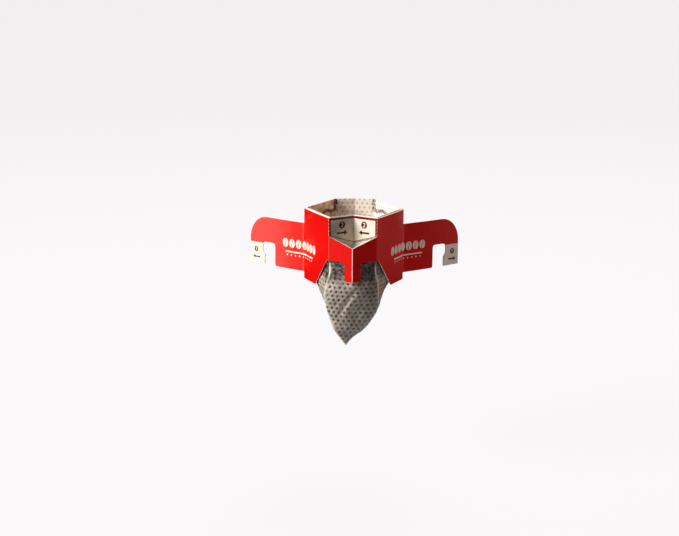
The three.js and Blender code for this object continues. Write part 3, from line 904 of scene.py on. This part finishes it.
def stain_and_light_of(drops, columns, front):
    """Red: grounds pressed to the cloth high in the pouch. Green: paler cloth, dry above the grounds and on
    the sealed keel and low crease lines, and a painted highlight on the creases higher up. Blue: crumbs left
    inside the mouth. Alpha: a painted tan shade with red bounce light inside, full on the left wall and
    faint elsewhere."""
    level = np.broadcast_to(drops[:, None], (len(drops), columns))
    along = front[:, :-1]
    tide = 27.5 + 1.4 * np.sin(along / 3.1) + 0.9 * np.sin(along / 1.3 + 1)
    pressed = 1 - smooth_step(level - tide, -1.2, 2.2)
    sunk = 0.1 + 0.3 * smooth_step(level, 48, 60)
    grounds = np.maximum(pressed, sunk) * smooth_step(level, 18, 20)
    crease = np.zeros_like(level)
    width = 0.5 + 0.55 * smooth_step(level, 42, 50)
    lower = 0.9 * smooth_step(level, 43, 47)
    # Low down each listed corner gets a pale sealed line; higher up its strength scales a painted highlight
    # on the fold.
    for corner, strength in PALE_SEAMS_AND_HIGHLIGHTS:
        fold_highlight = strength * 0.75 * within(level, (20, 23), (38, 44))
        crease = np.maximum(crease, np.exp(-(way_from(along, corner) / width) ** 2) * (fold_highlight + lower))
    dry = 0.85 * (1 - smooth_step(level, 14, 18))
    hem = 0.8 * smooth_step(level, POUCH_FOOT - 1.2, POUCH_FOOT - 0.7)
    seam_and_highlight = np.maximum(np.clip(crease, 0, 1), np.maximum(dry, hem))
    # Alpha paints shade: full tan on the left inner wall, which faces away from the key light, and faint
    # elsewhere.
    turn = np.arange(columns) / EDGE_STEPS
    left_wall, right_wall = turn > BACK_LEFT, (turn > BACK_RIGHT - 1) & (turn < BACK_RIGHT)
    painted_shade_tint = np.broadcast_to(np.where(left_wall, 1.0, np.where(right_wall, 0.25, 0.3)), level.shape)
    return np.stack((grounds, seam_and_highlight, inner_residue(level, columns), painted_shade_tint), axis=-1)


def closed(grid):
    """A grid of point numbers whose first column follows its last one again."""
    return np.column_stack((grid, grid[:, 0]))


def cell_corners(grid):
    """The four corners of each of a grid's cells, in the order that faces outwards."""
    return np.stack((grid[1:, :-1], grid[1:, 1:], grid[:-1, 1:], grid[:-1, :-1]), axis=-1)


def at_heights(ring, heights):
    """Rows of plan points, each row at its height."""
    rows, columns = ring.shape[:2]
    return np.concatenate((ring, np.broadcast_to(heights[:, None, None], (rows, columns, 1))), axis=-1)


def close_foot(mesh, foot):
    """Closes the keel's foot with cross strips between its two long sides."""
    shape = bmesh.new()
    shape.from_mesh(mesh)
    shape.verts.ensure_lookup_table()
    count = len(foot)
    for i in range(count // 2):
        strip = [foot[i], foot[i + 1], foot[count - 1 - i], foot[(count - i) % count]]
        corners = list(dict.fromkeys(strip))
        if len(corners) > 2:
            shape.faces.new([shape.verts[k] for k in corners])
    bmesh.ops.recalc_face_normals(shape, faces=shape.faces)
    shape.to_mesh(mesh)
    shape.free()


def filter_pouch():
    """The pouch's skin with its keel closed, its cloth map, its stains and painted light, given the cloth's
    thickness.
    """
    drops, ring, front, back, down = pouch_surface()
    rows, columns = ring.shape[:2]
    points = at_heights(ring, MOUTH_LEVEL - drops)
    index = np.arange(rows * columns).reshape(rows, columns)
    pouch = mesh_from("filter_pouch", points.reshape(-1, 3), cell_corners(closed(index)).reshape(-1, 4))
    mesh = pouch.data
    on_front = (np.arange(columns) < CORNERS // 2 * EDGE_STEPS)[None, :, None]
    u = np.where(on_front, cell_corners(front), cell_corners(back))
    v = -cell_corners(down)
    cloth = mesh.uv_layers.new(name="cloth")
    cloth.data.foreach_set("uv", (np.stack((u, v), axis=-1) * MM).reshape(-1))
    # The attribute holds real stains and seams together with a painted highlight and a painted shade.
    stain_and_light = mesh.color_attributes.new("stain_and_light", "FLOAT_COLOR", "POINT")
    stain_and_light.data.foreach_set("color", stain_and_light_of(drops, columns, front).astype(np.float32).reshape(-1))
    close_foot(mesh, index[-1].tolist())
    skin = pouch.modifiers.new("cloth", "SOLIDIFY")
    skin.thickness = FILTER_THICKNESS * MM
    skin.offset = -1
    skin.material_offset = 1
    skin.material_offset_rim = 1
    mesh.materials.append(wet_nonwoven())
    mesh.materials.append(inner_nonwoven())
    smooth_shade(pouch, math.radians(50))
    return pouch


# Wet grounds in the pouch's foot

BED_TOP = 32.5
BED_FOOT = 57.0
BED_GAP = 1.1
CRATER_DEPTH = 5.8
CRATER_RINGS = 42
CRATER_GRAIN = 0.12
CRUMBS = 900
CRUMB_HALF_SIZE = (0.15, 0.36)


def crumb(size):
    """A small crumb: a cube's corners moved in at random, with twelve faces."""
    corners = np.array([(x, y, z) for x in (-1, 1) for y in (-1, 1) for z in (-1, 1)], float)
    corners *= RANDOM.uniform(0.45, 1.0, corners.shape)
    faces = np.array([
        (0, 1, 3), (0, 3, 2), (4, 6, 7), (4, 7, 5), (0, 4, 5), (0, 5, 1),
        (2, 3, 7), (2, 7, 6), (0, 2, 6), (0, 6, 4), (1, 5, 7), (1, 7, 3)])
    return corners * size, faces


def coffee_bed():
    """The grounds: walls just inside the cloth, a crater on top whose depth is a parabola of the way
    to its middle with random grain on it, and loose crumbs lying in it."""
    drops, ring, _, _, _ = pouch_surface()
    chosen = (drops > BED_TOP) & (drops < BED_FOOT)
    wall = ring[chosen][::2, ::2]
    wall_drops = drops[chosen][::2]
    centre = wall.mean(axis=1, keepdims=True)
    reach = np.linalg.norm(wall - centre, axis=-1, keepdims=True).clip(2)
    wall = centre + (wall - centre) * (1 - BED_GAP / reach)
    columns = wall.shape[1]
    shares = np.linspace(1, 0, CRATER_RINGS)[1:-1]
    bowl = centre[0] + (wall[0] - centre[0]) * shares[:, None, None]
    grain = CRATER_GRAIN * RANDOM.standard_normal((len(shares), columns))
    bowl_height = -wall_drops[0] - CRATER_DEPTH * (1 - shares ** 2)[:, None] + grain
    bowl_points = np.concatenate((bowl, bowl_height[..., None]), axis=-1)[::-1]
    points = np.concatenate((bowl_points, at_heights(wall, -wall_drops)))
    points[..., 2] += MOUTH_LEVEL
    index = np.arange(points.shape[0] * columns).reshape(-1, columns)
    faces = cell_corners(closed(index)).reshape(-1, 4).tolist()
    faces.append(index[0].tolist())
    faces.append(index[-1][::-1].tolist())
    vertices = [points.reshape(-1, 3)]
    start = len(vertices[0])
    for _ in range(CRUMBS):
        row, column = RANDOM.integers(2, len(shares)), RANDOM.integers(0, columns)
        lump, lump_faces = crumb(RANDOM.uniform(*CRUMB_HALF_SIZE))
        vertices.append(lump + points[row, column])
        faces.extend((lump_faces + start).tolist())
        start += len(lump)
    bed = mesh_from("coffee_bed", np.vstack(vertices), faces)
    bed.data.materials.append(wet_grounds())
    smooth_shade(bed, math.radians(40))
    return bed


# Camera as the photo was taken, floor and light

FRAME_WIDTH, FRAME_HEIGHT = 679, 536
CAMERA_ELEVATION = math.radians(10.99)
CAMERA_TURN = math.radians(0.77)
CAMERA_ROLL = math.radians(0.51)
CAMERA_DISTANCE = 650.0
CAMERA_FOCAL_PIXELS = 1366.0
LOOK_AT = (0.0, 0.0, -0.7)
LOOK_AT_PIXEL = (353.64, 249.84)
SENSOR = 36.0


def photo_camera():
    """A camera on a sphere round the look-at point, turned and rolled as fitted to the photo, with the
    small shift that puts that point on its pixel."""
    data = bpy.data.cameras.new("photo_camera")
    data.sensor_width = SENSOR
    data.lens = SENSOR * CAMERA_FOCAL_PIXELS / FRAME_WIDTH
    data.shift_x = -(LOOK_AT_PIXEL[0] - FRAME_WIDTH / 2) / FRAME_WIDTH
    data.shift_y = (LOOK_AT_PIXEL[1] - FRAME_HEIGHT / 2) / FRAME_WIDTH
    data.clip_start = 0.01
    data.clip_end = 200
    camera = bpy.data.objects.new("photo_camera", data)
    flat = math.cos(CAMERA_ELEVATION)
    way = Vector((math.sin(CAMERA_TURN) * flat, -math.cos(CAMERA_TURN) * flat, math.sin(CAMERA_ELEVATION)))
    target = Vector(LOOK_AT) * MM
    camera.location = target + way * CAMERA_DISTANCE * MM
    turn = (target - camera.location).to_track_quat("-Z", "Y").to_matrix()
    camera.rotation_euler = (turn @ Matrix.Rotation(CAMERA_ROLL, 3, "Z")).to_euler()
    bpy.context.scene.collection.objects.link(camera)
    bpy.context.scene.camera = camera


def studio_floor():
    """A wide pale floor under the hanging bag. It shows to the camera, and throws no light back up."""
    half, level = 60000.0, -105.0
    corners = [(-half, -half, level), (half, -half, level), (half, half, level), (-half, half, level)]
    floor = mesh_from("studio_floor", corners, [(0, 1, 2, 3)])
    material, _, shader = new_material("pale_paper_sweep")
    shader.inputs["Base Color"].default_value = linear("#2c2b2c")
    shader.inputs["Roughness"].default_value = 0.9
    shader.inputs["Emission Color"].default_value = linear("#f4f2f3")
    shader.inputs["Emission Strength"].default_value = 0.97
    floor.data.materials.append(material)
    floor.visible_diffuse = False
    floor.visible_glossy = False


def soft_light(name, place, size, power, colour="#ffffff"):
    """A square soft box at place, in metres, that looks at the bag."""
    data = bpy.data.lights.new(name, "AREA")
    data.shape = "SQUARE"
    data.size = size
    data.energy = power
    data.color = linear(colour)[:3]
    light = bpy.data.objects.new(name, data)
    light.location = place
    light.rotation_euler = (-Vector(place)).to_track_quat("-Z", "Y").to_euler()
    bpy.context.scene.collection.objects.link(light)


def studio():
    """A strong soft box on the left, a low dim one that mirrors in the left arm's varnish, weak light
    from the right and the front, a small low one behind on the right that mirrors in the right panel,
    and light from above behind and from the table below."""
    soft_light("key_left", (-1.08, -0.45, 0.68), 0.6, 30)
    soft_light("sheen_left", (-1.2, 0.05, -0.23), 0.5, 3.6, "#ffe8d4")
    soft_light("fill_right", (1.25, 0.32, 0.15), 0.6, 6.0, "#ffe6e4")
    soft_light("fill_front", (-0.45, -1.4, 0.0), 0.8, 0.8)
    soft_light("sheen_right", (0.8, 0.9, -0.2), 0.1, 0.06)
    soft_light("top_back", (0.1, 0.8, 1.1), 0.9, 16)
    soft_light("table_below", (0.3, -0.34, -0.9), 0.8, 8.4)
    world = bpy.data.worlds.new("pale_room")
    world.use_nodes = True
    background = world.node_tree.nodes["Background"]
    background.inputs["Color"].default_value = linear("#f7f6f8")
    background.inputs["Strength"].default_value = 0.95
    world.cycles_visibility.diffuse = False
    world.cycles_visibility.glossy = False
    bpy.context.scene.world = world
    bpy.context.scene.view_settings.view_transform = "Standard"


photo_camera()
studio_floor()
studio()

card = printed_card()
pouch = filter_pouch()
bed = coffee_bed()

for piece, node, slot in (
        (card, "card_frame", "printed_card"),
        (pouch, "filter_bag", "wet_filter"),
        (bed, "coffee_grounds", "wet_grounds")):
    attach(piece, "root")
    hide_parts(node)
